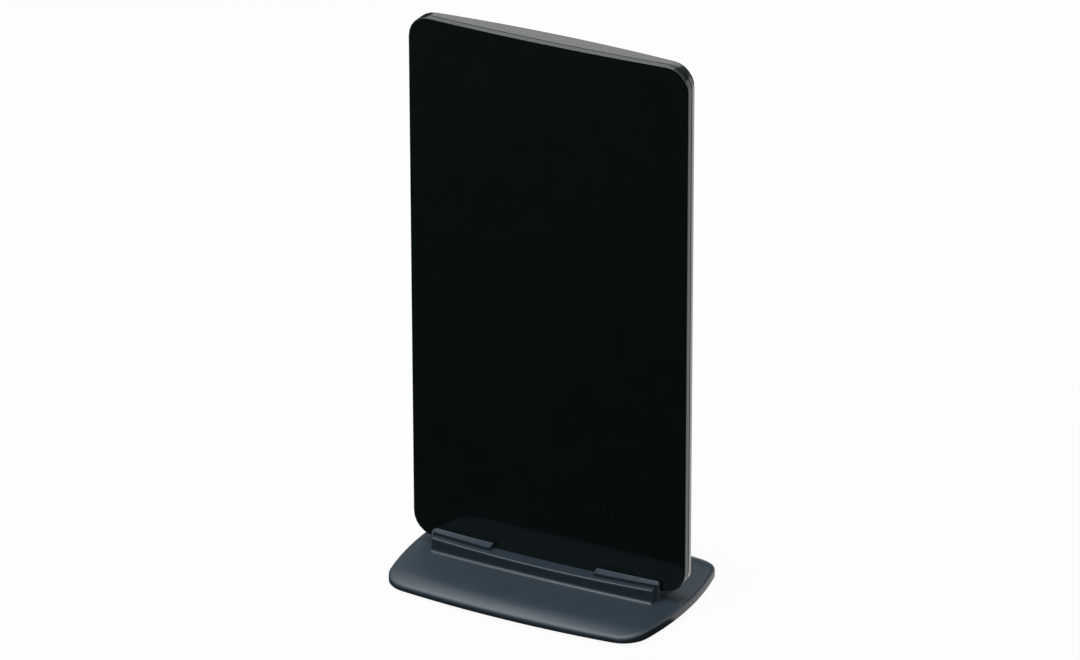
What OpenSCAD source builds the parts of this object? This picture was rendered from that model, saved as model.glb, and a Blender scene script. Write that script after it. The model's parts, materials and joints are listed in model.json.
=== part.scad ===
// Desktop UHF antenna: a slim upright panel of two shells on a low moulded stand.
// Millimetres. X runs along the panel, Y points to its back, Z is up.
// The origin is under the middle of the stand, on the surface that it stands on.

/* [Panel] */
// Width of the panel
panel_w = 110; // [90:1:130]
// Height of the panel's top edge above the desk
panel_top = 211; // [170:1:250]
// Height of the panel's bottom edge above the desk
panel_foot = 8; // [7:0.5:9]
// Radius of the panel's four corners
corner_r = 8.5; // [7:0.5:12]
// Distance of the panel's front edge plane ahead of the stand's middle
panel_set = 3; // [1:0.5:5]
// Depth of the front cover's side wall
front_depth = 2.4; // [2.3:0.1:3.4]
// Depth of the rear cover's side wall
rear_depth = 3.5; // [3.2:0.1:5]
// Width of the dark groove between the two covers
seam = 0.4; // [0.2:0.1:0.8]
// How far the front face bulges forward at its middle
front_bow = 2; // [1:0.1:3]
// How far the back bulges backward at its middle
rear_bow = 3; // [2:0.1:5]
// Bevel round the front face
front_bevel = 0.5; // [0.3:0.1:1]
// Rounding round the back
rear_round = 1.8; // [1:0.1:2.4]
// Wall of both covers
cover_wall = 1.5; // [1.2:0.1:1.6]
// Play between the rear cover's lip and the front cover
lip_play = 0.15; // [0.05:0.05:0.4]
// Thickness of the lip
lip_wall = 1.2; // [0.8:0.1:1.6]
// Play between the lip's end and the front cover's face
lip_end_play = 0.2; // [0.1:0.05:0.4]

/* [Stand] */
// How far each of the panel's sides stands out past the stand's
stand_reveal = 0.25; // [0:0.05:6]
// Depth of the stand at its middle
stand_d = 74; // [66:1:96]
// Radius of the stand's corners
stand_corner_r = 11; // [8:0.5:16]
// How far the stand's sides bow outward
side_bow = 4; // [2:0.5:7]
// How far the stand's front and back edges bow outward
end_bow = 3; // [1.5:0.5:5]
// Height of the stand's lower edge above the desk
stand_lift = 0.8; // [0.4:0.1:0.9]
// Height of the stand's top at its middle
crown_z = 5.7; // [5.2:0.1:6.2]
// Height of the stand's top at its front and back edges
rim_z = 2.9; // [2.4:0.1:3.4]
// Width of the slope along the stand's front and back edges
roll_w = 9; // [6:0.5:12]
// Share of its height above the rim that the stand's top loses at its sides
side_fall = 0.45; // [0.2:0.05:0.6]

/* [Holder] */
// Half length of the rail in front of the panel
rail_half = 44.5; // [36:0.5:46]
// Height of the rail's top
rail_z = 9.2; // [8.6:0.1:10]
// How far the rail's ends stand ahead of the panel's edge plane
rail_reach = 5.5; // [4:0.5:7]
// How far the rail bows forward at its middle
rail_bow = 2.4; // [1:0.1:4]
// Height of the tabs that hold the panel's front
tab_z = 12.7; // [11.5:0.1:14]
// Half width of the gap between the two tabs
tab_gap = 21; // [14:0.5:28]
// Distance of the tabs' outer ends from the middle
tab_end = 46; // [44:0.5:50]
// Distance of the tabs' foot behind the rail's front
tab_step = 2.2; // [1.6:0.1:2.6]
// Height at which the tabs' faces begin to lean back
tab_foot_z = 10.1; // [9.6:0.1:11]
// Thickness of the rail behind the panel
back_rail = 5.5; // [5:0.5:8]
// Play between the panel and its holder
holder_play = 0.15; // [0.05:0.05:0.4]

/* [Fixing] */
// Half width of the tongue under the panel
tongue_half = 36; // [30:1:38]
// Thickness of the tongue
tongue_t = 4.2; // [3.8:0.1:4.6]
// Height of the tongue's lower end above the desk
tongue_z = 6.2; // [5.6:0.1:7]
// Distance of the stand screws from the middle
stand_screw_x = 26; // [18:1:28]
// Distance of the bottom plate's screws from the middle
plate_screw_x = 38; // [34:1:40]
// Shank radius of the screws in the stand
plate_screw_r = 1.3; // [1.1:0.1:1.4]
// Shank radius of the cover screws
cover_screw_r = 1.2; // [1:0.1:1.3]
// Distance of the cover screws from the panel's edges
cover_screw_in = 10; // [9:0.5:12]
// Play round every screw
screw_play = 0.05; // [0.02:0.01:0.1]

/* [Bottom plate and feet] */
// Width of the bottom plate
plate_w = 92; // [88:1:98]
// Depth of the bottom plate
plate_d = 56; // [44:1:60]
// Thickness of the bottom plate
plate_t = 1.5; // [1.2:0.1:1.6]
// Height of the feet
foot_h = 1; // [0.9:0.1:1.4]
// Radius of the feet
foot_r = 4; // [3:0.5:5]
// Distance of the feet from the plate's edges
foot_in = 6.5; // [6:0.5:9]

/* [Aerial] */
// Thickness of the tinplate aerial halves
aerial_t = 0.5; // [0.3:0.1:0.6]
// Distance of the aerial halves from the panel's sides
aerial_in = 7.5; // [7:0.5:10]
// Width of the aerial's strip
strip_w = 13; // [8:1:16]
// Height of the aerial above the panel's bottom edge
aerial_up = 38; // [36:1:44]
// Distance of the aerial's top from the panel's top edge
aerial_down = 21; // [19:1:30]
// Gap between the aerial's two halves
aerial_gap = 6; // [4:1:8]
// Thickness of the matching board
board_t = 1.2; // [0.8:0.1:1.6]
// Half width of the matching board
board_half = 16; // [14:1:20]

/* [Coaxial connector] */
// Radius of the connector's outer thread
thread_r = 4.7625; // [4.7:0.0125:4.85]
// Depth below the thread's crest at which the nut and the connector meet
thread_drop = 0.2575; // [0.2:0.0025:0.3]
// Length of the connector behind the rear cover
thread_l = 9.5; // [8:0.5:12]
// Height of the connector's axis above the panel's bottom edge
connector_up = 23; // [21:1:26]
// Width across flats of the nut and the inner flange
hex_af = 11.1; // [10.8:0.1:12]
// Thickness of the inner flange
flange_t = 1.6; // [1.2:0.1:1.8]
// Thickness of the nut
nut_t = 2.4; // [2:0.1:3]
// Thickness of the toothed washer
washer_t = 0.7; // [0.5:0.1:1]
// Radius of the white insulator
insulator_r = 3.5; // [3:0.1:3.8]
// Radius of the centre contact
contact_r = 1; // [0.8:0.1:1.2]

/* [Hidden] */
// Width of the stand at its middle
stand_w = panel_w - 2 * stand_reveal;
pitch_r = thread_r - thread_drop;
$fn = 48;
eps = 0.01;

panel_h = panel_top - panel_foot;
panel_mid = (panel_top + panel_foot) / 2;
face_y = -panel_set;
seam_y = face_y + front_depth;
back_y = seam_y + seam + rear_depth;
lip_y = face_y + cover_wall + lip_end_play;

corner_steps = 6;
flat_steps = 14;

// Share of the full bulge at a distance x from the panel's middle
function swell(x) = 1 - pow(2 * x / panel_w, 2);
function front_outer(x) = face_y - front_bow * swell(x);
function front_inner(x) = front_outer(x) + cover_wall;
function rear_outer(x) = back_y + rear_bow * swell(x);
function rear_inner(x) = rear_outer(x) - cover_wall;

// The upper half of the panel's outline, from its left side over the top to its right
function panel_half(inset) =
    let (r = corner_r - inset,
         cx = panel_w / 2 - corner_r,
         cz = panel_mid + panel_h / 2 - corner_r)
    concat(
        [for (k = [0 : corner_steps])
            let (a = 180 - 90 * k / corner_steps) [r * cos(a) - cx, cz + r * sin(a)]],
        [for (k = [1 : flat_steps - 1]) [2 * cx * k / flat_steps - cx, cz + r]],
        [for (k = [0 : corner_steps])
            let (a = 90 - 90 * k / corner_steps) [cx + r * cos(a), cz + r * sin(a)]]);

// A half outline and its mirror image about a middle line, as one closed loop
function mirrored(half, middle) =
    concat(half, [for (k = [len(half) - 1 : -1 : 0]) [half[k][0], 2 * middle - half[k][1]]]);

// One loop of a cover: the outline drawn in by inset, at depth y, bulging by bow
function cover_ring(inset, y, bow) =
    [for (p = mirrored(panel_half(inset), panel_mid)) [p[0], y + bow * swell(p[0]), p[1]]];

// A closed skin over a list of loops, whose first and last loops are closed by
// strips that join each point to its mirror image
module skin(rings, flip = false) {
    n = len(rings[0]);
    last = (len(rings) - 1) * n;
    sides = [for (b = [0 : len(rings) - 2], i = [0 : n - 1])
        let (p = b * n + i, q = b * n + (i + 1) % n)
        each [[p, q, q + n], [p, q + n, p + n]]];
    first_cap = [for (i = [0 : n / 2 - 2]) [n - 1 - i, n - 2 - i, i + 1, i]];
    last_cap = [for (i = [0 : n / 2 - 2])
        [last + i, last + i + 1, last + n - 2 - i, last + n - 1 - i]];
    faces = concat(sides, first_cap, last_cap);
    polyhedron([for (r = rings) each r],
               flip ? [for (f = faces) [for (k = [len(f) - 1 : -1 : 0]) f[k]]] : faces);
}

// A cylinder that runs backward, along +Y
module along_y(x, y, z, r, l, sides = $fn)
    translate([x, y, z]) rotate([-90, 0, 0]) cylinder(r = r, h = l, $fn = sides);

// The four corners at which the covers are screwed together
cover_screw_x = panel_w / 2 - cover_screw_in;
cover_screw_zs = [panel_foot + cover_screw_in, panel_top - cover_screw_in];
cover_boss_r = 2.7;
// The front and rear bosses meet this far behind the front cover's edge
seam_cover = 0.6;
boss_y = seam_y + seam_cover;
cover_head_r = 2.2;
cover_head_h = 1.3;
head_room = 0.2;
cover_head_y = rear_outer(cover_screw_x) - cover_head_h - head_room;
cover_screw_tip = front_inner(cover_screw_x) + 0.4;

module at_cover_screws()
    for (x = [-cover_screw_x, cover_screw_x], z = cover_screw_zs)
        translate([x, 0, z]) children();

module front_cover() color("#0b0d0d") difference() {
    union() {
        skin(flip = true, [
            cover_ring(front_bevel, face_y, -front_bow),
            cover_ring(front_bevel * 0.3, face_y + front_bevel * 0.3, -front_bow),
            cover_ring(0, face_y + front_bevel, -front_bow),
            cover_ring(0, seam_y, -front_bow),
            cover_ring(cover_wall, seam_y, -front_bow),
            cover_ring(cover_wall, face_y + cover_wall, -front_bow)]);
        at_cover_screws()
            along_y(0, front_inner(cover_screw_x) - cover_wall / 2, 0, cover_boss_r,
                    boss_y - front_inner(cover_screw_x) + cover_wall / 2);
    }
    at_cover_screws()
        along_y(0, front_inner(cover_screw_x) + 0.2, 0, cover_screw_r + screw_play,
                boss_y - front_inner(cover_screw_x));
}

// Sizes that the aerial, the board and the connector share
aerial_z0 = panel_foot + aerial_up;
aerial_z1 = panel_top - aerial_down;
aerial_x1 = panel_w / 2 - aerial_in;
connector_z = panel_foot + connector_up;
hex_r = hex_af / sqrt(3);
// The flange's corners touch the curved inside of the rear cover
flange_y = rear_inner(hex_r) - flange_t;
tag_t = 0.4;
board_y1 = flange_y - tag_t;
board_y0 = board_y1 - board_t;
aerial_y0 = board_y0 - aerial_t;
board_below = 9;
board_z0 = connector_z - board_below;
feed_l = 6;
feed_w = 6;
board_z1 = aerial_z0 + 1;
peg_r = 1;
peg_play = 0.1;
peg_head = 0.5;
post_x = board_half - 3.5;
post_z = board_z0 + 3.5;

// Where each aerial half is held: on its lower bar, its upright and its upper bar
peg_places = [
    [aerial_x1 - strip_w * 1.9, aerial_z0 + strip_w / 2],
    [aerial_x1 - strip_w / 2, aerial_z0 + (aerial_z1 - aerial_z0) * 0.3],
    [aerial_x1 - strip_w / 2, aerial_z0 + (aerial_z1 - aerial_z0) * 0.7],
    [aerial_x1 - strip_w * 1.9, aerial_z1 - strip_w / 2]];

// A moulded peg: a shoulder behind the sheet, a pin through it and a staked head
module peg(x, z, seat_y, sheet_t) {
    along_y(x, seat_y, z, peg_r * 2, rear_inner(x) + cover_wall / 2 - seat_y);
    along_y(x, seat_y - sheet_t - peg_head / 2, z, peg_r, sheet_t + peg_head);
    along_y(x, seat_y - sheet_t - peg_head, z, peg_r * 1.8, peg_head);
}

tongue_y1 = rear_outer(0) - 2.2;
tongue_y0 = tongue_y1 - tongue_t;
tongue_mid_y = (tongue_y0 + tongue_y1) / 2;
stand_boss_r = tongue_t / 2;
stand_boss_rise = 12;
stand_boss_top = panel_foot + stand_boss_rise;
// Room between the ends of the stand screws and the tops of their bosses
stand_screw_room = 2;

module rear_cover() color("#16181a") difference() {
    union() {
        skin([
            cover_ring(rear_round, back_y, rear_bow),
            cover_ring(rear_round * 0.7, back_y - rear_round * 0.06, rear_bow),
            cover_ring(rear_round * 0.3, back_y - rear_round * 0.35, rear_bow * 0.95),
            cover_ring(0, back_y - rear_round, rear_bow * 0.85),
            cover_ring(0, seam_y + seam, -front_bow),
            cover_ring(cover_wall + lip_play, seam_y + seam, -front_bow),
            cover_ring(cover_wall + lip_play, lip_y, -front_bow),
            cover_ring(cover_wall + lip_play + lip_wall, lip_y, -front_bow),
            cover_ring(cover_wall + lip_play + lip_wall, back_y - cover_wall, rear_bow)]);
        at_cover_screws()
            along_y(0, boss_y, 0, cover_boss_r,
                    rear_inner(cover_screw_x) + cover_wall / 2 - boss_y);
        for (side = [-1, 1], p = peg_places)
            peg(side * p[0], p[1], aerial_y0 + aerial_t, aerial_t);
        for (side = [-1, 1])
            peg(side * post_x, post_z, board_y1, board_t);
        translate([-tongue_half, tongue_y0, tongue_z])
            cube([2 * tongue_half, tongue_t, panel_foot + cover_wall - tongue_z]);
        for (side = [-1, 1])
            translate([side * stand_screw_x, tongue_mid_y, tongue_z])
                cylinder(r = stand_boss_r, h = stand_boss_top - tongue_z);
    }
    at_cover_screws() {
        along_y(0, boss_y - 1, 0, cover_screw_r + screw_play, 2 * rear_bow + rear_depth);
        along_y(0, cover_head_y, 0, cover_head_r + head_room, 2 * rear_bow);
    }
    along_y(0, rear_inner(0) - 1, connector_z, thread_r + screw_play, cover_wall + 2);
    for (side = [-1, 1])
        translate([side * stand_screw_x, tongue_mid_y, tongue_z - 1])
            cylinder(r = plate_screw_r + screw_play, h = stand_boss_top - tongue_z);
}

// One half of the aerial: a C of tinplate with a tab that is soldered to the board
module aerial(side) color("#b9bcbc") mirror([side < 0 ? 1 : 0, 0, 0]) difference() {
    translate([0, aerial_y0 + aerial_t, 0]) rotate([90, 0, 0]) linear_extrude(aerial_t)
        difference() {
            union() {
                translate([aerial_gap / 2, aerial_z0])
                    square([aerial_x1 - aerial_gap / 2, aerial_z1 - aerial_z0]);
                translate([aerial_gap / 2, aerial_z0 - feed_l])
                    square([feed_w, feed_l + eps]);
            }
            translate([aerial_gap / 2 - 1, aerial_z0 + strip_w])
                square([aerial_x1 - strip_w - aerial_gap / 2 + 1,
                        aerial_z1 - aerial_z0 - 2 * strip_w]);
        }
    for (p = peg_places)
        along_y(p[0], aerial_y0 - 1, p[1], peg_r + peg_play, aerial_t + 2);
}

module aerial_left() aerial(-1);
module aerial_right() aerial(1);

pin_r = 0.5;

module matching_board() color("#2f6b45") difference() {
    translate([-board_half, board_y0, board_z0])
        cube([2 * board_half, board_t, board_z1 - board_z0]);
    along_y(0, board_y0 - 1, connector_z, pin_r + peg_play, board_t + 2);
    for (side = [-1, 1])
        along_y(side * post_x, board_y0 - 1, post_z, peg_r + peg_play, board_t + 2);
}

// Two-hole ferrite core, lying on the board with its holes upright
core_w = 7;
core_d = 3.4;
core_h = 5.4;
core_hole_r = 0.9;
core_hole_x = 1.75;
core_z0 = connector_z + 3.5;
core_mid_y = board_y0 - core_d / 2;

module balun_core() color("#3a3a3c") difference() {
    translate([-core_w / 2, board_y0 - core_d, core_z0]) cube([core_w, core_d, core_h]);
    for (side = [-1, 1])
        translate([side * core_hole_x, core_mid_y, core_z0 - 1])
            cylinder(r = core_hole_r, h = core_h + 2);
}

// Three turns of enamelled wire through both holes of the core
wire_r = 0.22;
turn_pitch = 0.42;

module balun_winding() color("#a5542b")
    for (turn = [-1, 0, 1]) translate([0, core_mid_y + turn * turn_pitch, 0]) {
        for (side = [-1, 1])
            translate([side * core_hole_x, 0, core_z0]) cylinder(r = wire_r, h = core_h, $fn = 24);
        for (end = [0, 1])
            translate([0, 0, core_z0 + end * core_h]) rotate([90, 0, 0])
                rotate([0, 0, end ? 0 : 180])
                    rotate_extrude(angle = 180, $fn = 32)
                        translate([core_hole_x, 0]) circle(r = wire_r, $fn = 24);
    }

// Chip capacitors beside the core
chip_x = 9;
chip_up = 4;
chip_l = 2;
chip_w = 1.2;
chip_t = 0.8;

module chip_capacitors() color("#c8b28a")
    for (side = [-1, 1])
        translate([side * chip_x - chip_l / 2, board_y0 - chip_t, connector_z + chip_up])
            cube([chip_l, chip_t, chip_w]);

module hexagon(y, t) translate([0, y, connector_z]) rotate([-90, 0, 0])
    cylinder(r = hex_r, h = t, $fn = 6);

nut_end = rear_outer(0) + washer_t + nut_t;
// The full thread begins just behind the nut
thread_gap = 0.3;
thread_start = nut_end + thread_gap;
thread_end = rear_outer(0) + thread_l;

module connector_body() color("#c9c6bd") difference() {
    union() {
        hexagon(flange_y, flange_t);
        along_y(0, flange_y + flange_t - eps, connector_z, pitch_r,
                thread_start - flange_y - flange_t + 2 * eps);
        along_y(0, thread_start, connector_z, thread_r, thread_end - thread_start);
    }
    along_y(0, flange_y - 1, connector_z, insulator_r, thread_end - flange_y + 2);
}

insulator_set_in = 0.4;
contact_set_in = 0.8;
contact_bore_l = 7;
pin_below_board = 0.6;
insulator_end = thread_end - insulator_set_in;
contact_end = insulator_end - contact_set_in;

module connector_insulator() color("#ece9df") difference() {
    along_y(0, flange_y, connector_z, insulator_r, insulator_end - flange_y);
    along_y(0, flange_y - 1, connector_z, contact_r, contact_end - flange_y + 1);
    along_y(0, contact_end - 1, connector_z, contact_r * 0.7, 3);
}

module connector_contact() color("#c9a24a") difference() {
    union() {
        along_y(0, flange_y, connector_z, contact_r, contact_end - flange_y);
        along_y(0, board_y0 - pin_below_board, connector_z, pin_r,
                flange_y - board_y0 + pin_below_board + eps);
    }
    along_y(0, contact_end - contact_bore_l, connector_z, contact_r * 0.55, contact_bore_l + 1);
}

tag_r = 4.4;
tag_w = 3;
tag_l = 7.5;
tag_hole_r = 2.2;

module earth_tag() color("#cdb06a") difference() {
    union() {
        along_y(0, board_y1, connector_z, tag_r, tag_t);
        translate([-tag_w / 2, board_y1, connector_z - tag_l]) cube([tag_w, tag_t, tag_r]);
    }
    along_y(0, board_y1 - 1, connector_z, tag_hole_r, tag_t + 2);
}

module connector_washer() color("#b4b4b0") difference() {
    along_y(0, rear_outer(0), connector_z, hex_af / 2 + 0.4, washer_t);
    along_y(0, rear_outer(0) - 1, connector_z, thread_r + screw_play, washer_t + 2);
    for (tooth = [0 : 11])
        translate([0, rear_outer(0) - 1, connector_z]) rotate([0, tooth * 30, 0])
            translate([hex_af / 2 - 0.3, 0, -0.35]) cube([2, washer_t + 2, 0.7]);
}

module connector_nut() color("#c9c6bd") difference() {
    hexagon(rear_outer(0) + washer_t, nut_t);
    along_y(0, rear_outer(0), connector_z, pitch_r + screw_play, nut_t + washer_t + 1);
}

// Cross recess in a screw's head, cut into its top at z = 0
module cross_recess(size, depth)
    for (a = [0, 90]) rotate([0, 0, a])
        translate([-size / 2, -0.25, -depth]) cube([size, 0.5, depth + 1]);

module cover_screws() color("#8f9496")
    at_cover_screws() translate([0, cover_head_y + cover_head_h, 0]) rotate([-90, 0, 0])
        difference() {
            union() {
                translate([0, 0, -cover_head_h]) cylinder(r = cover_head_r, h = cover_head_h);
                translate([0, 0, cover_screw_tip - cover_head_y - cover_head_h])
                    cylinder(r = cover_screw_r, h = cover_head_y - cover_screw_tip + eps);
            }
            cross_recess(2.4, 0.8);
        }

// Half of the stand's outline. Two shallow arcs meet in a round corner, whose
// centre lies where two circles about the arcs' centres cross.
side_chord = stand_d / 2 - stand_corner_r / 2;
side_r = (pow(side_chord, 2) + pow(side_bow, 2)) / (2 * side_bow);
end_chord = stand_w / 2 - stand_corner_r / 2;
end_r = (pow(end_chord, 2) + pow(end_bow, 2)) / (2 * end_bow);
side_centre = stand_w / 2 - side_r;
end_centre = stand_d / 2 - end_r;
side_gap = side_r - stand_corner_r;
end_gap = end_r - stand_corner_r;
centres = norm([side_centre, end_centre]);
cross_along = (pow(side_gap, 2) - pow(end_gap, 2) + pow(centres, 2)) / (2 * centres);
cross_off = sqrt(pow(side_gap, 2) - pow(cross_along, 2));
centre_line = [-side_centre, end_centre] / centres;
stand_corner = [side_centre, 0] + cross_along * centre_line
             - cross_off * [centre_line[1], -centre_line[0]];
side_turn = atan2(stand_corner[1], stand_corner[0] - side_centre);
end_turn = atan2(stand_corner[1] - end_centre, stand_corner[0]);
stand_side_steps = 5;
stand_corner_steps = 8;
stand_end_steps = 7;

function arc_point(centre, r, a) = centre + r * [cos(a), sin(a)];
function stand_quarter() = concat(
    [for (k = [0 : stand_side_steps - 1])
        arc_point([side_centre, 0], side_r, side_turn * (k + 0.5) / (stand_side_steps + 0.5))],
    [for (k = [0 : stand_corner_steps])
        arc_point(stand_corner, stand_corner_r,
                  side_turn + (end_turn - side_turn) * k / stand_corner_steps)],
    [for (k = [1 : stand_end_steps])
        arc_point([0, end_centre], end_r,
                  end_turn + (90 - end_turn) * k / stand_end_steps)]);
quarter = stand_quarter();
// The rear half of the outline, from the right side over the back to the left
stand_half = concat(quarter,
    [for (k = [len(quarter) - 2 : -1 : 0]) [-quarter[k][0], quarter[k][1]]]);
stand_outline = mirrored(stand_half, 0);

// Y of the bowed front or back edge at x, before the corners are rounded
function end_edge(x) = end_centre + sqrt(pow(end_r, 2) - pow(x, 2));

// Height of the stand's top: a crown that rolls down to the front and back edges
crown_arch = 0.06;
function stand_top(x, y) =
    let (edge = end_edge(x), rise = min(1, (edge - abs(y)) / roll_w))
    rim_z + (crown_z - rim_z) * (1 - pow(1 - rise, 2)) * (1 - crown_arch * pow(y / edge, 2))
          * (1 - side_fall * pow(2 * x / stand_w, 2));

function drawn_in(p, inset) =
    [p[0] * (1 - 2 * inset / stand_w), p[1] * (1 - 2 * inset / stand_d)];
function level_ring(inset, z) =
    [for (p = stand_outline) let (q = drawn_in(p, inset)) [q[0], q[1], z]];
// A loop that lies below the stand's top by drop
function top_ring(inset, drop = 0) =
    [for (p = stand_outline) let (q = drawn_in(p, inset)) [q[0], q[1], stand_top(q[0], q[1]) - drop]];

edge_insets = [1.2, 2.2, 3.6, 5.2, 7, 9.2, 13, 18, 23, 28];

// The rail, the seat under the panel and the rail behind it are one moulded section,
// which follows the panel's two bulges. This gives that section at a distance x.
root_z = 4;
root_sink = 0.4;
foot_fillet = 1.3;
rail_round = 0.7;
back_rail_bow = 1.5;

function front_rail(x) = face_y - rail_reach - rail_bow * (1 - pow(x / rail_half, 2));
function seat_front(x) = front_outer(x) - holder_play;
function seat_back(x) = rear_outer(x) + holder_play;
function back_rail_y(x) = rear_outer(0) + back_rail - back_rail_bow * pow(x / rail_half, 2);
function round_up(y, z, r, dir) = [for (k = [0 : 3])
    let (a = 30 * k) [y + dir * r * (1 - cos(a)), z - r * (1 - sin(a))]];
function fillet_up(y, z, r, dir) = [for (a = [25, 50, 70, 90])
    [y - dir * r * (1 - sin(a)), z + r * (1 - cos(a))]];
function reversed(list) = [for (k = [len(list) - 1 : -1 : 0]) list[k]];
function holder_section(x) =
    let (f = front_rail(x), b = back_rail_y(x), zf = stand_top(x, f), zb = stand_top(x, b))
    concat(
        [[f - foot_fillet, root_z], [f - foot_fillet, zf - root_sink]],
        fillet_up(f, zf, foot_fillet, 1),
        round_up(f, rail_z, rail_round, 1),
        [[seat_front(x), rail_z], [seat_front(x), panel_foot],
         [seat_back(x), panel_foot], [seat_back(x), rail_z]],
        reversed(round_up(b, rail_z, rail_round, -1)),
        reversed(fillet_up(b, zb, foot_fillet, -1)),
        [[b + foot_fillet, zb - root_sink], [b + foot_fillet, root_z]]);

// A solid swept along X through sections of equal length
module sweep_x(xs, sections) {
    n = len(sections[0]);
    last = (len(xs) - 1) * n;
    points = [for (i = [0 : len(xs) - 1]) each [for (p = sections[i]) [xs[i], p[0], p[1]]]];
    sides = [for (b = [0 : len(xs) - 2], i = [0 : n - 1])
        let (p = b * n + i, q = b * n + (i + 1) % n)
        each [[p, q, q + n], [p, q + n, p + n]]];
    polyhedron(points, concat(sides,
        [[for (i = [n - 1 : -1 : 0]) i]],
        [[for (i = [0 : n - 1]) last + i]]));
}

holder_steps = 12;
// The sweep runs past both ends, which are then cut square
end_waste = 1;
holder_xs = [for (k = [0 : holder_steps])
    (rail_half + end_waste) * (2 * k / holder_steps - 1)];
module holder() intersection() {
    sweep_x(holder_xs, [for (x = holder_xs) holder_section(x)]);
    translate([-rail_half, -stand_d / 2, 0]) cube([2 * rail_half, stand_d, tab_z]);
}

// The right tab stands on the rail: a low riser, then a face that leans back to the
// panel. Its back follows the panel's bulge and its outer end is round.
tab_play = 0.4;
tab_top_t = 1.1;
tab_round = 0.25;
tab_end_r = 1.6;
tab_steps = 5;
tab_flat_end = tab_end - tab_end_r;
function tab_front(x, lean) =
    (1 - lean) * (front_rail(x) + tab_step) + lean * (front_outer(x) - tab_top_t);
function tab_back(x) = front_outer(x) - tab_play;
tab_xs = [for (k = [0 : tab_steps]) tab_gap + (tab_flat_end - tab_gap) * k / tab_steps];
function tab_loop(lean, z) =
    let (f = tab_front(tab_flat_end, lean), b = tab_back(tab_flat_end))
    concat([for (x = tab_xs) [x, tab_front(x, lean), z]],
           [for (k = [1 : 6]) let (a = 180 * k / 7 - 90)
               [tab_flat_end + tab_end_r * (1 - lean / 2) * cos(a),
                (f + b) / 2 + (b - f) / 2 * sin(a), z]],
           [for (k = [tab_steps : -1 : 0]) [tab_xs[k], tab_back(tab_xs[k]), z]]);
module tab() skin(flip = true, [
    tab_loop(0, root_z),
    tab_loop(0, tab_foot_z),
    tab_loop(0.92, tab_z - tab_round),
    tab_loop(1.06, tab_z)]);

plate_z0 = foot_h;
plate_z1 = plate_z0 + plate_t;
plate_play = 0.3;
plate_corner_r = 6;
plate_screw_tip = panel_foot + 0.2;
front_screw_y = (front_rail(plate_screw_x) + seat_front(plate_screw_x)) / 2;
back_screw_y = (back_rail_y(plate_screw_x) + seat_back(plate_screw_x)) / 2;
countersink_r = 2.4;

module plate_outline(grow) {
    w = plate_w / 2 + grow;
    d = plate_d / 2 + grow;
    r = plate_corner_r + grow;
    polygon([for (c = [[1, 1, 0], [-1, 1, 90], [-1, -1, 180], [1, -1, 270]], k = [0 : 6])
        [c[0] * (w - r) + r * cos(c[2] + 15 * k), c[1] * (d - r) + r * sin(c[2] + 15 * k)]]);
}

module at_plate_screws()
    for (x = [-plate_screw_x, plate_screw_x], y = [front_screw_y, back_screw_y])
        translate([x, y, 0]) children();

module at_stand_screws()
    for (side = [-1, 1]) translate([side * stand_screw_x, tongue_mid_y, 0]) children();

module stand_shell() color("#39434b") difference() {
    union() {
        skin(flip = true, concat(
            [level_ring(0.5, stand_lift), level_ring(0, stand_lift + 0.3)],
            [top_ring(0, 0.9), top_ring(0.2, 0.45), top_ring(0.6, 0.12)],
            [for (i = edge_insets) top_ring(i)]));
        holder();
        tab();
        mirror([1, 0, 0]) tab();
    }
    translate([0, 0, -1]) linear_extrude(plate_z1 + 1) plate_outline(plate_play);
    translate([-tongue_half - holder_play, tongue_y0 - holder_play, tongue_z])
        cube([2 * (tongue_half + holder_play), tongue_t + 2 * holder_play, tab_z]);
    at_plate_screws() cylinder(r = plate_screw_r + screw_play, h = plate_screw_tip + 0.2);
    at_stand_screws() cylinder(r = plate_screw_r + screw_play, h = panel_foot);
}

module bottom_plate() color("#2b2d2f") difference() {
    translate([0, 0, plate_z0]) linear_extrude(plate_t) plate_outline(0);
    at_plate_screws() countersink();
    at_stand_screws() countersink();
}

// The hole for a countersunk screw through the bottom plate
module countersink() translate([0, 0, plate_z0]) {
    translate([0, 0, -1]) cylinder(r = plate_screw_r + screw_play, h = plate_t + 2);
    translate([0, 0, -eps]) cylinder(r1 = countersink_r + screw_play,
        r2 = plate_screw_r + screw_play, h = countersink_r - plate_screw_r);
}

module countersunk_screw(tip) translate([0, 0, plate_z0]) difference() {
    union() {
        cylinder(r1 = countersink_r, r2 = plate_screw_r, h = countersink_r - plate_screw_r);
        cylinder(r = plate_screw_r, h = tip - plate_z0);
    }
    mirror([0, 0, 1]) cross_recess(2.2, 0.8);
}

module plate_screws() color("#8f9496") at_plate_screws() countersunk_screw(plate_screw_tip);
module stand_screws() color("#8f9496")
    at_stand_screws() countersunk_screw(stand_boss_top - stand_screw_room);

// A stuck-on rubber foot under one corner of the bottom plate
module foot(side_x, side_y) color("#1c1c1d")
    translate([side_x * (plate_w / 2 - foot_in), side_y * (plate_d / 2 - foot_in), 0])
        rotate_extrude() polygon([[0, 0], [foot_r - 0.3, 0], [foot_r, 0.3], [foot_r, foot_h],
                                  [0, foot_h]]);
module foot_front_left() foot(-1, -1);
module foot_front_right() foot(1, -1);
module foot_rear_left() foot(-1, 1);
module foot_rear_right() foot(1, 1);

front_cover();
rear_cover();
aerial_left();
aerial_right();
matching_board();
balun_core();
balun_winding();
chip_capacitors();
connector_body();
connector_insulator();
connector_contact();
earth_tag();
connector_washer();
connector_nut();
cover_screws();
stand_shell();
bottom_plate();
plate_screws();
stand_screws();
foot_front_left();
foot_front_right();
foot_rear_left();
foot_rear_right();
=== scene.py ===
"""Finish of a desktop UHF antenna: a glossy black panel on a satin blue-grey stand."""
import json
import math

import bmesh
import bpy
from mathutils import Matrix, Quaternion, Vector


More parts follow.
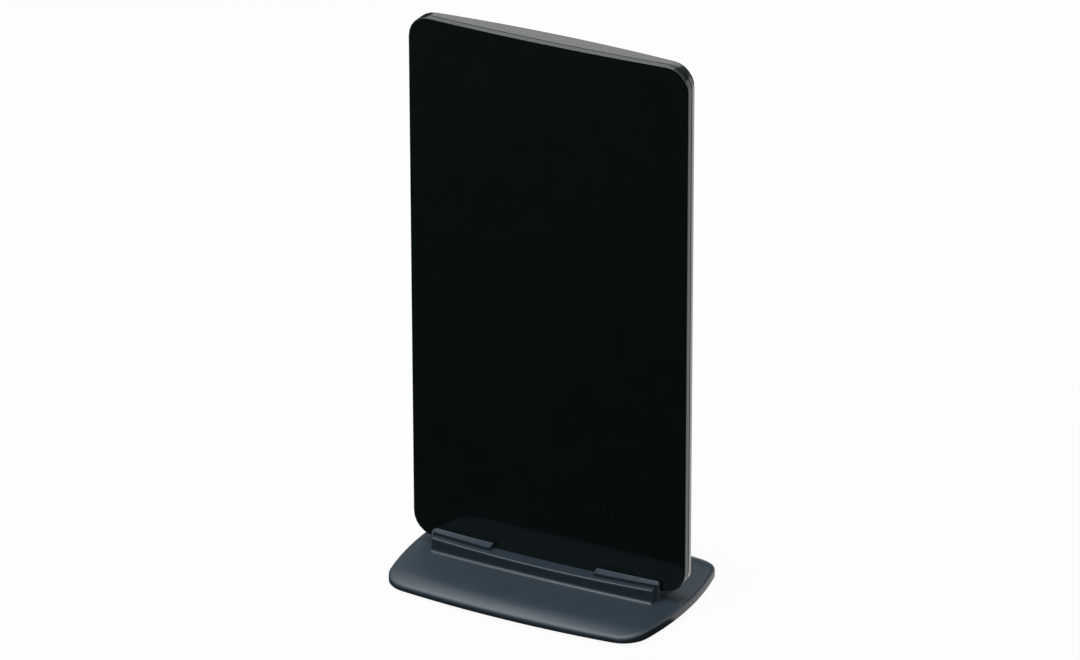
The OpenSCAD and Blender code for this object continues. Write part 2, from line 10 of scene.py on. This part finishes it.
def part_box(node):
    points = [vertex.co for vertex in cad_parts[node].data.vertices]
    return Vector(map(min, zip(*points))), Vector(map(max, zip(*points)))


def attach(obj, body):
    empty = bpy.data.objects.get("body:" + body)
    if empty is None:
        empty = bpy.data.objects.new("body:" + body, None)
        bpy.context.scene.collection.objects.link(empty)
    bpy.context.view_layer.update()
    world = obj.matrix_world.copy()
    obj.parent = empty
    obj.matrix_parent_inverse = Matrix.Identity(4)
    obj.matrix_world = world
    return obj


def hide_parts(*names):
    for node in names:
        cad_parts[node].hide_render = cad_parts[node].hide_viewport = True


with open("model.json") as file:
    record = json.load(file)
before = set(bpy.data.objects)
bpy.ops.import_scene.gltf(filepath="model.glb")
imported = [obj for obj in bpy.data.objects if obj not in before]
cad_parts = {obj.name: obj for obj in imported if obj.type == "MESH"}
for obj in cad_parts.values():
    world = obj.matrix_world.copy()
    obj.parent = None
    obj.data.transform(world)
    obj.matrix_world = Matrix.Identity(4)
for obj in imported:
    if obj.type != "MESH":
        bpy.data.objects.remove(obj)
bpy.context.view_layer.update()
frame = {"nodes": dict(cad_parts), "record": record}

MM = 0.001
BODY = "root"
# Triangle corners of a CAD mesh that lie closer than this are one corner
SAME_POINT_MM = 0.002
# Neighbouring triangles that turn less than this are one flat face
FLAT_DEGREES = 0.05

# The photograph's frame and the place that its camera stood at
PHOTO_W = 1080
FOCAL_PX = 7078.0
SENSOR_MM = 36.0
CAMERA_AZIMUTH = 27.94
CAMERA_ELEVATION = 25.40
CAMERA_ROLL = -0.14
CAMERA_DISTANCE = 2.5
CAMERA_AIM = Vector((-3.0, -3.0, 99.9)) * MM
CAMERA_REACH = 20


def linear(hex_colour, alpha=1.0):
    """An sRGB hex colour as the linear values that Blender's sockets take."""
    values = [int(hex_colour[i:i + 2], 16) / 255 for i in (1, 3, 5)]
    return [v / 12.92 if v <= 0.04045 else ((v + 0.055) / 1.055) ** 2.4 for v in values] + [alpha]


def node(tree, kind, settings=None, inputs=None):
    """Adds a node, sets its own settings and gives its sockets values or links."""
    made = tree.nodes.new(kind)
    for name, value in (settings or {}).items():
        setattr(made, name, value)
    for name, value in (inputs or {}).items():
        if isinstance(value, bpy.types.NodeSocket):
            tree.links.new(value, made.inputs[name])
        else:
            made.inputs[name].default_value = value
    return made


def fresh_material(name):
    """An empty material with its node tree, its output and the object's own coordinates."""
    material = bpy.data.materials.new(name)
    material.use_nodes = True
    tree = material.node_tree
    tree.nodes.clear()
    output = node(tree, "ShaderNodeOutputMaterial")
    place = node(tree, "ShaderNodeTexCoord").outputs["Object"]
    return material, tree, output, place


# A noise stays nearly always between these two values
NOISE_LOW = 0.3
NOISE_HIGH = 0.7


def speckle(tree, place, grain_mm, detail=2.0):
    """A noise whose features measure about grain_mm."""
    return node(tree, "ShaderNodeTexNoise", None,
                {"Vector": place, "Scale": 1 / (grain_mm * MM), "Detail": detail}).outputs["Fac"]


def spread(tree, factor, low, high):
    """Stretches a noise's middle stretch to the range from low to high."""
    return node(tree, "ShaderNodeMapRange", None,
                {"Value": factor, "From Min": NOISE_LOW, "From Max": NOISE_HIGH,
                 "To Min": low, "To Max": high}).outputs["Result"]


def tinted(tree, factor, dark, light):
    """A colour between two hex colours, which follows a noise."""
    ramp = node(tree, "ShaderNodeValToRGB", None, {"Fac": factor})
    low, high = ramp.color_ramp.elements
    low.color, low.position = linear(dark), NOISE_LOW
    high.color, high.position = linear(light), NOISE_HIGH
    return ramp.outputs["Color"]


def raised(tree, height, depth_mm):
    """A bump of a real depth from a height between 0 and 1."""
    return node(tree, "ShaderNodeBump", None,
                {"Height": height, "Distance": depth_mm * MM, "Strength": 1.0}).outputs["Normal"]


def finish(material, tree, output, inputs):
    """Gives a material its principled shader."""
    shader = node(tree, "ShaderNodeBsdfPrincipled", None, inputs)
    tree.links.new(shader.outputs["BSDF"], output.inputs["Surface"])
    return material


# Refractive indices
GLOSS_ABS_IOR = 1.5
SATIN_ABS_IOR = 1.54
HARD_COAT_IOR = 1.6
THIN_COAT_IOR = 1.5
DULL_SOLID_IOR = 1.5


def piano_black_abs():
    """ABS from a mirror-polished mould under a clear hard coat: deep black with sharp gloss.

    The moulding's slow swirl bends reflections a little, and wipe marks dull the black below.
    """
    material, tree, output, place = fresh_material("piano_black_abs")
    swirl = speckle(tree, place, 9.0)
    wipe_marks = speckle(tree, place, 0.6)
    return finish(material, tree, output, {
        "Base Color": tinted(tree, swirl, "#1e2926", "#212c29"),
        "Roughness": spread(tree, wipe_marks, 0.10, 0.14),
        "Normal": raised(tree, swirl, 0.004),
        "IOR": GLOSS_ABS_IOR,
        "Specular IOR Level": 0.0,
        "Coat Weight": 1.0,
        "Coat Roughness": 0.05,
        "Coat IOR": HARD_COAT_IOR})


def spark_eroded_abs(name, dark, light, roughness, grain_mm, depth_mm, coat=0.0):
    """ABS from a spark-eroded mould: a satin skin of tiny round grains.

    Real grains are about 0.05 mm and too fine to show, so they are drawn ten times as coarse.
    The plastic's flow in the mould shades the colour over about 14 mm.
    """
    material, tree, output, place = fresh_material(name)
    grain = speckle(tree, place, grain_mm, 3.0)
    flow = speckle(tree, place, 14.0)
    return finish(material, tree, output, {
        "Base Color": tinted(tree, flow, dark, light),
        "Roughness": spread(tree, grain, roughness - 0.04, roughness + 0.04),
        "Normal": raised(tree, grain, depth_mm),
        "IOR": SATIN_ABS_IOR,
        "Specular IOR Level": 0.5 - 0.2 * coat,
        "Coat Weight": coat,
        "Coat Roughness": 0.14,
        "Coat IOR": THIN_COAT_IOR})


def plain_metal(name, dark, light, roughness, grain_mm, depth_mm):
    """Plated or drawn metal whose shine varies a little in soft patches."""
    material, tree, output, place = fresh_material(name)
    grain = speckle(tree, place, grain_mm)
    return finish(material, tree, output, {
        "Base Color": tinted(tree, grain, dark, light),
        "Metallic": 1.0,
        "Roughness": spread(tree, grain, roughness * 0.9, roughness * 1.1),
        "Normal": raised(tree, grain, depth_mm)})


def dull_solid(name, dark, light, roughness, grain_mm, depth_mm):
    """Rubber, ferrite, powder coat or ceramic: an even colour with a fine rough skin."""
    material, tree, output, place = fresh_material(name)
    grain = speckle(tree, place, grain_mm, 4.0)
    return finish(material, tree, output, {
        "Base Color": tinted(tree, grain, dark, light),
        "Roughness": spread(tree, grain, roughness - 0.05, roughness + 0.05),
        "Normal": raised(tree, grain, depth_mm),
        "IOR": DULL_SOLID_IOR})


# Each takes its name, dark and light colour, roughness, grain and bump depth in millimetres
FINISHES = {
    # Mirror gloss, nearly black
    "front_gloss": piano_black_abs(),
    # Black with a soft sheen, which turns grey where light grazes it
    "rear_satin": spark_eroded_abs("satin_black_abs", "#101413", "#151a18", 0.26, 0.5, 0.003, 1.0),
    # Blue-grey with broad soft highlights
    "stand_satin": spark_eroded_abs("slate_abs", "#394650", "#3d4b55", 0.4, 0.5, 0.006),
    # Tinned steel sheet: pale, slightly cloudy
    "tinplate": plain_metal("tinplate", "#a8abaa", "#c3c5c3", 0.32, 1.2, 0.0006),
    # Glass cloth in epoxy under a green mask: an even, slightly mottled green
    "board": dull_solid("glass_epoxy", "#1f5a36", "#276b42", 0.3, 0.8, 0.004),
    # Pressed and fired ferrite: matt dark grey and slightly pitted
    "ferrite": dull_solid("ferrite", "#2d2d2f", "#39393b", 0.7, 0.3, 0.02),
    # Copper wire under clear enamel: warm brown-red
    "copper_wire": plain_metal("enamelled_copper", "#9a4a22", "#b25a2c", 0.32, 0.5, 0.0004),
    # Fired chip body: dull tan
    "chip_ceramic": dull_solid("chip_ceramic", "#b39c74", "#c2ab84", 0.5, 0.2, 0.004),
    # Nickel plate over turned brass: bright, a little warm and satin
    "nickel": plain_metal("nickel_plate", "#bdb9b0", "#cfccc4", 0.34, 0.8, 0.0003),
    # Moulded polyethylene: creamy white
    "insulator": dull_solid("polyethylene", "#e2dfd4", "#ebe8de", 0.4, 0.6, 0.004),
    # Thinly tinned brass: dull gold
    "contact_brass": plain_metal("tinned_brass", "#b59a5e", "#cbb178", 0.3, 0.5, 0.0004),
    # Zinc plate on steel: cool grey
    "screw_steel": plain_metal("zinc_plate", "#8b9195", "#a3a9ac", 0.34, 0.6, 0.0005),
    # Powder coat: near black with a fine orange-peel skin
    "plate_paint": dull_solid("powder_coat", "#191a1b", "#232425", 0.55, 0.7, 0.03),
    # Filled rubber: flat black
    "foot_rubber": dull_solid("foot_rubber", "#141414", "#1b1b1b", 0.8, 0.4, 0.01),
}
SLOT_OF = {part["node"]: part["material_slot"] for part in frame["record"]["subparts"]}


def paint(piece, slot_name):
    """Gives a piece one finish all over."""
    piece.data.materials.clear()
    piece.data.materials.append(FINISHES[slot_name])


def shade(work, sharp_degrees):
    """Smooth shading, with the edges sharper than an angle kept crisp."""
    for face in work.faces:
        face.smooth = True
    for edge in work.edges:
        edge.smooth = edge.calc_face_angle(math.pi) < math.radians(sharp_degrees)


def smoothed_copy(cad_name, name, sharp_degrees=50.0):
    """A copy of a CAD node with its triangles joined and its curved faces shaded smooth."""
    source = frame["nodes"][cad_name]
    mesh = source.data.copy()
    work = bmesh.new()
    work.from_mesh(mesh)
    bmesh.ops.remove_doubles(work, verts=work.verts, dist=SAME_POINT_MM * MM)
    bmesh.ops.dissolve_limit(work, angle_limit=math.radians(FLAT_DEGREES), verts=work.verts,
                             edges=work.edges, delimit={"NORMAL"})
    shade(work, sharp_degrees)
    work.to_mesh(mesh)
    work.free()
    piece = bpy.data.objects.new(name, mesh)
    bpy.context.scene.collection.objects.link(piece)
    piece.matrix_world = source.matrix_world.copy()
    even = piece.modifiers.new("even_normals", "WEIGHTED_NORMAL")
    even.keep_sharp = True
    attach(piece, BODY)
    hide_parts(cad_name)
    paint(piece, SLOT_OF[cad_name])
    return piece


# Mould radii along the edges of the covers and the stand, in millimetres
FRONT_RADIUS = 0.34
REAR_RADIUS = 0.15
STAND_RADIUS = 0.42
RADIUS_SEGMENTS = 3


def small_radii(piece, radius_mm, from_degrees):
    """Rounds a moulding's edges where two faces meet at more than an angle."""
    rounding = piece.modifiers.new("small_radii", "BEVEL")
    rounding.width = radius_mm * MM
    rounding.segments = RADIUS_SEGMENTS
    rounding.profile = 0.5
    rounding.limit_method = "ANGLE"
    rounding.angle_limit = math.radians(from_degrees)
    rounding.use_clamp_overlap = True
    piece.modifiers.move(len(piece.modifiers) - 1, 0)


# Heights in the CAD stand's holder, and where the photograph puts them: the holder's foot, a point
# below the rail's top, the rail's top, the tabs' foot, a point below their top and their top
HOLDER_HEIGHTS = ((8.3, 8.3), (8.5, 9.4), (9.2, 10.1), (10.1, 11.55), (12.45, 12.0), (12.7, 12.15))
HEIGHT_SLACK = 0.01


def reshaped_holder(z):
    """The photograph's height for a point of the holder, in millimetres."""
    for (low, new_low), (high, new_high) in zip(HOLDER_HEIGHTS, HOLDER_HEIGHTS[1:]):
        if z <= high + HEIGHT_SLACK:
            return new_low + (z - low) * (new_high - new_low) / (high - low)
    return z


def stand_piece():
    """The stand with a taller rail, lower tabs and the small radii of a moulding's edges."""
    piece = smoothed_copy("stand_shell", "stand_body", sharp_degrees=35.0)
    work = bmesh.new()
    work.from_mesh(piece.data)
    for vert in work.verts:
        if vert.co.z > HOLDER_HEIGHTS[0][0] * MM:
            vert.co.z = reshaped_holder(vert.co.z / MM) * MM
    work.to_mesh(piece.data)
    work.free()
    small_radii(piece, STAND_RADIUS, from_degrees=40)


# The 3/8-32 thread of a 75 ohm socket, in millimetres
THREAD_PITCH = 25.4 / 32
THREAD_DEPTH = 0.5
THREAD_RUN_OUT = 0.3
THREAD_END_ROOM = 0.35
THREAD_TURN_STEPS = 40
THREAD_SHARP_DEGREES = 35.0
# The ridge's crest is nearly sharp, each flank takes most of half a pitch, and its foot lies
# inside the barrel
CREST_HALF_FLAT = 0.06
FLANK_SHARE = 0.45
RIDGE_SINK = 0.1
# The plain barrel that carries the thread; it starts inside the shortened body
BARREL_STEPS = 48
BARREL_SINK = 0.5
BARREL_CHAMFER = 0.3
CUT_BEFORE_THREAD = 0.02


def turned(work, points, centre, turns, rise, steps):
    """Spins a closed profile of (radius, y) points about the connector's axis; rise is per turn."""
    corners = [work.verts.new((centre[0], y * MM, centre[2] + r * MM)) for r, y in points]
    sides = [work.edges.new((corners[i], corners[i - 1])) for i in range(len(corners))]
    spun = bmesh.ops.spin(work, geom=corners + sides, cent=centre, axis=(0, 1, 0),
                          angle=2 * math.pi * turns, steps=steps, use_merge=rise == 0,
                          dvec=(0, rise * turns / steps * MM, 0), use_duplicate=False)
    return sides + [part for part in spun["geom_last"] if isinstance(part, bmesh.types.BMEdge)]


def threaded_connector():
    """The coaxial connector, whose outer barrel gets its rolled thread and end chamfer.

    The body's copy is cut off where the thread starts, and its ring-shaped end is closed.
    """
    low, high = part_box("connector_body")
    centre = ((low[0] + high[0]) / 2, 0, (low[2] + high[2]) / 2)
    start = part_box("connector_nut")[1][1] / MM + THREAD_RUN_OUT
    end = high[1] / MM
    crest = next(mount["dims"]["r_mm"] for mount in frame["record"]["mounts"]
                 if mount["kind"] == "pin")
    bore = (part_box("connector_insulator")[1][0] - centre[0]) / MM
    root = crest - THREAD_DEPTH
    piece = smoothed_copy("connector_body", "connector_barrel", THREAD_SHARP_DEGREES)
    work = bmesh.new()
    work.from_mesh(piece.data)
    cut = bmesh.ops.bisect_plane(work, geom=work.verts[:] + work.edges[:] + work.faces[:],
                                 plane_co=(0, (start - CUT_BEFORE_THREAD) * MM, 0),
                                 plane_no=(0, 1, 0), clear_outer=True)
    rim = [part for part in cut["geom_cut"] if isinstance(part, bmesh.types.BMEdge)]
    bmesh.ops.bridge_loops(work, edges=rim)
    old_faces = set(work.faces)
    inner_end = start - BARREL_SINK
    turned(work, [(bore, inner_end), (root, inner_end), (root, end - BARREL_CHAMFER),
                  (root - BARREL_CHAMFER, end), (bore, end)], centre, 1, 0, BARREL_STEPS)
    first = start + THREAD_PITCH / 2
    turns = (end - THREAD_END_ROOM - THREAD_PITCH / 2 - first) / THREAD_PITCH
    flank = THREAD_PITCH * FLANK_SHARE
    sunk = root - RIDGE_SINK
    ends = turned(work, [(sunk, first - flank), (crest, first - CREST_HALF_FLAT),
                         (crest, first + CREST_HALF_FLAT), (sunk, first + flank)],
                  centre, turns, THREAD_PITCH, round(turns * THREAD_TURN_STEPS))
    bmesh.ops.holes_fill(work, edges=[edge for edge in ends if edge.is_valid and edge.is_boundary])
    bmesh.ops.recalc_face_normals(work, faces=[face for face in work.faces
                                               if face not in old_faces])
    shade(work, THREAD_SHARP_DEGREES)
    work.to_mesh(piece.data)
    work.free()


def dress_nodes():
    """Every CAD node that stays takes the finish of its material slot."""
    for name, piece in frame["nodes"].items():
        paint(piece, SLOT_OF[name])


def light_path_share(tree):
    """1 for rays that look at the surface directly, in a mirror or through glass."""
    rays = node(tree, "ShaderNodeLightPath")
    glossy = node(tree, "ShaderNodeMath", {"operation": "MAXIMUM"},
                  {0: rays.outputs["Is Camera Ray"], 1: rays.outputs["Is Glossy Ray"]})
    return node(tree, "ShaderNodeMath", {"operation": "MAXIMUM"},
                {0: glossy.outputs[0], 1: rays.outputs["Is Transmission Ray"]}).outputs[0]


FLOOR_HALF = 2.0
# How white the floor is to the camera and in mirrors, and how much of that it gives by itself
FLOOR_WHITE = 0.9
FLOOR_OWN_LIGHT = 0.94
# How white it is to the object's dull surfaces, which keeps their lower sides dark
FLOOR_BOUNCE = 0.08


def pale_floor():
    """A white floor that shows white and still keeps the object's soft shadow."""
    work = bmesh.new()
    bmesh.ops.create_grid(work, x_segments=1, y_segments=1, size=FLOOR_HALF)
    mesh = bpy.data.meshes.new("floor")
    work.to_mesh(mesh)
    work.free()
    floor = bpy.data.objects.new("floor", mesh)
    bpy.context.scene.collection.objects.link(floor)
    material, tree, output, _ = fresh_material("white_paper")
    seen = light_path_share(tree)
    tone = node(tree, "ShaderNodeMapRange", None,
                {"Value": seen, "To Min": FLOOR_BOUNCE,
                 "To Max": FLOOR_WHITE}).outputs["Result"]
    lit = node(tree, "ShaderNodeBsdfDiffuse", None, {"Color": tone})
    glow = node(tree, "ShaderNodeEmission", None, {"Color": (1, 1, 1, 1), "Strength": 1.0})
    share = node(tree, "ShaderNodeMath", {"operation": "MULTIPLY"},
                 {0: seen, 1: FLOOR_OWN_LIGHT})
    mix = node(tree, "ShaderNodeMixShader", None,
               {0: share.outputs[0], 1: lit.outputs[0], 2: glow.outputs[0]})
    tree.links.new(mix.outputs[0], output.inputs["Surface"])
    mesh.materials.append(material)


def reflector_card(name, colour, size, place):
    """A flat card that only the object's gloss can see; place turns and moves it."""
    work = bmesh.new()
    bmesh.ops.create_grid(work, x_segments=1, y_segments=1, size=0.5)
    bmesh.ops.scale(work, vec=(size[0], size[1], 1), verts=work.verts)
    bmesh.ops.transform(work, matrix=place, verts=work.verts)
    mesh = bpy.data.meshes.new(name)
    work.to_mesh(mesh)
    work.free()
    card = bpy.data.objects.new(name, mesh)
    bpy.context.scene.collection.objects.link(card)
    material, tree, output, _ = fresh_material(name + "_paper")
    dull = node(tree, "ShaderNodeBsdfDiffuse", None, {"Color": linear(colour)})
    tree.links.new(dull.outputs[0], output.inputs["Surface"])
    mesh.materials.append(material)
    card.visible_camera = False
    card.visible_diffuse = False
    card.visible_shadow = False
    card.visible_transmission = False


# The cards' sizes and places in metres, and their turns about the object in degrees. They darken
# what the gloss sees: the face looks nearly black and the stand doesn't shine like wet plastic.
FLAG_START_Y = -8 * MM
FLAG_LIFT = 0.3 * MM
FLAG_LENGTH = 1.2
FLAG_WIDTH = 2.6
BACK_CARD_TURN = 28.0
BACK_CARD_DISTANCE = 0.5
BACK_CARD_WIDTH = 1.4
BACK_CARD_HEIGHT = 0.34
RIGHT_CARD_TURN = -27.0
RIGHT_CARD_DISTANCE = 0.6
RIGHT_CARD_HEIGHT = 0.6
RIGHT_CARD_WIDTH = 0.58
RIGHT_CARD_TALL = 0.55
FRONT_CARD_TURN = -28.0
FRONT_CARD_DISTANCE = 0.7
FRONT_CARD_WIDTH = 1.2
FRONT_CARD_HEIGHT = 0.6


def upright(turn, distance, height):
    """The place of an upright card: its turn, its distance behind and its middle's height."""
    return (Matrix.Rotation(math.radians(turn), 4, "Z")
            @ Matrix.Translation((0, distance, height))
            @ Matrix.Rotation(math.radians(90), 4, "X"))


def cards():
    """Cards for the gloss: ahead of the face, low behind, out in front and grey behind right."""
    reflector_card("flag_ahead", "#050505", (FLAG_WIDTH, FLAG_LENGTH),
                   Matrix.Translation((0, FLAG_START_Y - FLAG_LENGTH / 2, FLAG_LIFT)))
    reflector_card("flag_behind", "#101010", (BACK_CARD_WIDTH, BACK_CARD_HEIGHT),
                   upright(BACK_CARD_TURN, BACK_CARD_DISTANCE, BACK_CARD_HEIGHT / 2))
    reflector_card("flag_in_front", "#101010", (FRONT_CARD_WIDTH, FRONT_CARD_HEIGHT),
                   upright(FRONT_CARD_TURN, -FRONT_CARD_DISTANCE, FRONT_CARD_HEIGHT / 2))
    reflector_card("flag_behind_right", "#808080", (RIGHT_CARD_WIDTH, RIGHT_CARD_TALL),
                   upright(RIGHT_CARD_TURN, RIGHT_CARD_DISTANCE, RIGHT_CARD_HEIGHT))


def softbox(name, place, aim, side, watts, colour):
    """A square soft light that looks at a point."""
    lamp = bpy.data.lights.new(name, "AREA")
    lamp.color = linear(colour)[:3]
    lamp.shape = "SQUARE"
    lamp.size = side
    lamp.energy = watts
    holder = bpy.data.objects.new(name, lamp)
    bpy.context.scene.collection.objects.link(holder)
    holder.location = place
    holder.rotation_mode = "QUATERNION"
    holder.rotation_quaternion = (Vector(aim) - Vector(place)).to_track_quat("-Z", "Y")
    return holder


# How bright the white surroundings are to the object's dull surfaces
SKY_ON_OBJECT = 0.03
# The lights' places, aims and sides in metres
OVERHEAD_PLACE = (-0.2, -0.1, 0.95)
OVERHEAD_AIM = (0, 0, 0.05)
OVERHEAD_SIDE = 0.9
OVERHEAD_WATTS = 9.5
FILL_PLACE = (0, 1.1, 0.4)
FILL_AIM = (0, 0, 0.08)
FILL_SIDE = 0.3
FILL_WATTS = 4.0


def studio():
    """Pale surroundings, a large light overhead, a weak one behind and cards for the gloss."""
    world = bpy.data.worlds.new("studio")
    bpy.context.scene.world = world
    world.use_nodes = True
    tree = world.node_tree
    tree.nodes.clear()
    output = node(tree, "ShaderNodeOutputWorld")
    strength = node(tree, "ShaderNodeMapRange", None,
                    {"Value": light_path_share(tree), "To Min": SKY_ON_OBJECT, "To Max": 1.0})
    sky = node(tree, "ShaderNodeBackground", None,
               {"Color": (1, 1, 1, 1), "Strength": strength.outputs["Result"]})
    tree.links.new(sky.outputs[0], output.inputs["Surface"])
    pale_floor()
    cards()
    softbox("overhead", OVERHEAD_PLACE, OVERHEAD_AIM, OVERHEAD_SIDE, OVERHEAD_WATTS, "#f4f9ff")
    fill = softbox("fill_behind", FILL_PLACE, FILL_AIM, FILL_SIDE, FILL_WATTS, "#ffffff")
    fill.visible_glossy = False


def camera():
    """The photograph's own view."""
    azimuth = math.radians(CAMERA_AZIMUTH)
    elevation = math.radians(CAMERA_ELEVATION)
    back = Vector((math.sin(azimuth) * math.cos(elevation),
                   -math.cos(azimuth) * math.cos(elevation), math.sin(elevation)))
    data = bpy.data.cameras.new("camera")
    data.sensor_fit = "HORIZONTAL"
    data.sensor_width = SENSOR_MM
    data.lens = FOCAL_PX * SENSOR_MM / PHOTO_W
    data.clip_end = CAMERA_REACH
    eye = bpy.data.objects.new("camera", data)
    bpy.context.scene.collection.objects.link(eye)
    eye.location = CAMERA_AIM + back * CAMERA_DISTANCE
    eye.rotation_mode = "QUATERNION"
    roll = Quaternion((0, 0, 1), math.radians(CAMERA_ROLL))
    eye.rotation_quaternion = (-back).to_track_quat("-Z", "Y") @ roll
    bpy.context.scene.camera = eye


camera()
studio()
dress_nodes()
small_radii(smoothed_copy("front_cover", "front_shell"), FRONT_RADIUS, from_degrees=30)
small_radii(smoothed_copy("rear_cover", "rear_shell"), REAR_RADIUS, from_degrees=50)
stand_piece()
threaded_connector()

scene = bpy.context.scene
scene.view_settings.view_transform = "Standard"
